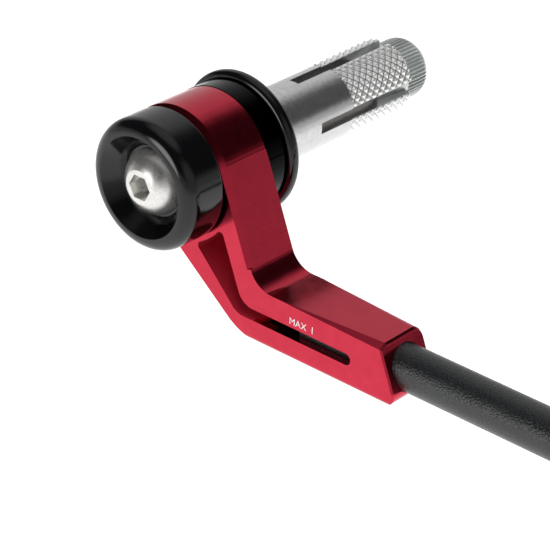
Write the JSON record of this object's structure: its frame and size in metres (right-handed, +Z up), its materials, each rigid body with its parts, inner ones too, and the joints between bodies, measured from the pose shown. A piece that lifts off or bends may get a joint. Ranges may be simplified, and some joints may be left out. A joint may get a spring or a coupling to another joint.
{
  "type": "brake lever guard",
  "caption": "Bar-end brake lever guard: expanding bar plug, turned cap and collar, milled swivelling arm and a sliding round guard rod bent inboard.",
  "frame": {"origin": "centre of the collar's inboard face, on the bar's axis, where the collar seats on the end of the bar", "axes": "+Y along the bar's axis, inboard, +X along the rod where it leaves the arm, +Z up"},
  "size_m": [0.144, 0.1366, 0.0462],
  "materials": {
    "black_anodised": "turned, black anodised, glossy",
    "stainless": "stainless steel, satin",
    "bright_aluminium": "turned bright aluminium, diamond knurl on the fingers",
    "grey_steel": "grey, straight serrations",
    "red_anodised": "milled, red anodised, glossy",
    "black_plastic": "moulded, fine grain",
    "black_steel": "black oxide"
  },
  "bodies": {
    "plug": {"bar_end_cap": "black_anodised", "clamp_bolt": "stainless", "collar": "black_anodised", "expander_sleeve": "bright_aluminium", "expander_cone": "grey_steel"},
    "arm": {"guard_arm": "red_anodised", "set_screws": "black_steel"},
    "guard": {"guard_rod": "black_plastic"}
  },
  "joints": [
    {"name": "arm_swivel", "type": "hinge", "parent": "plug", "child": "arm", "pos_m": [0, -0.01445, 0], "axis": [0, 1, 0], "continuous": true},
    {"name": "rod_slide", "type": "slide", "parent": "arm", "child": "guard", "axis": [1, 0, 0], "range_m": [-0.0075, 0.005]}
  ]
}
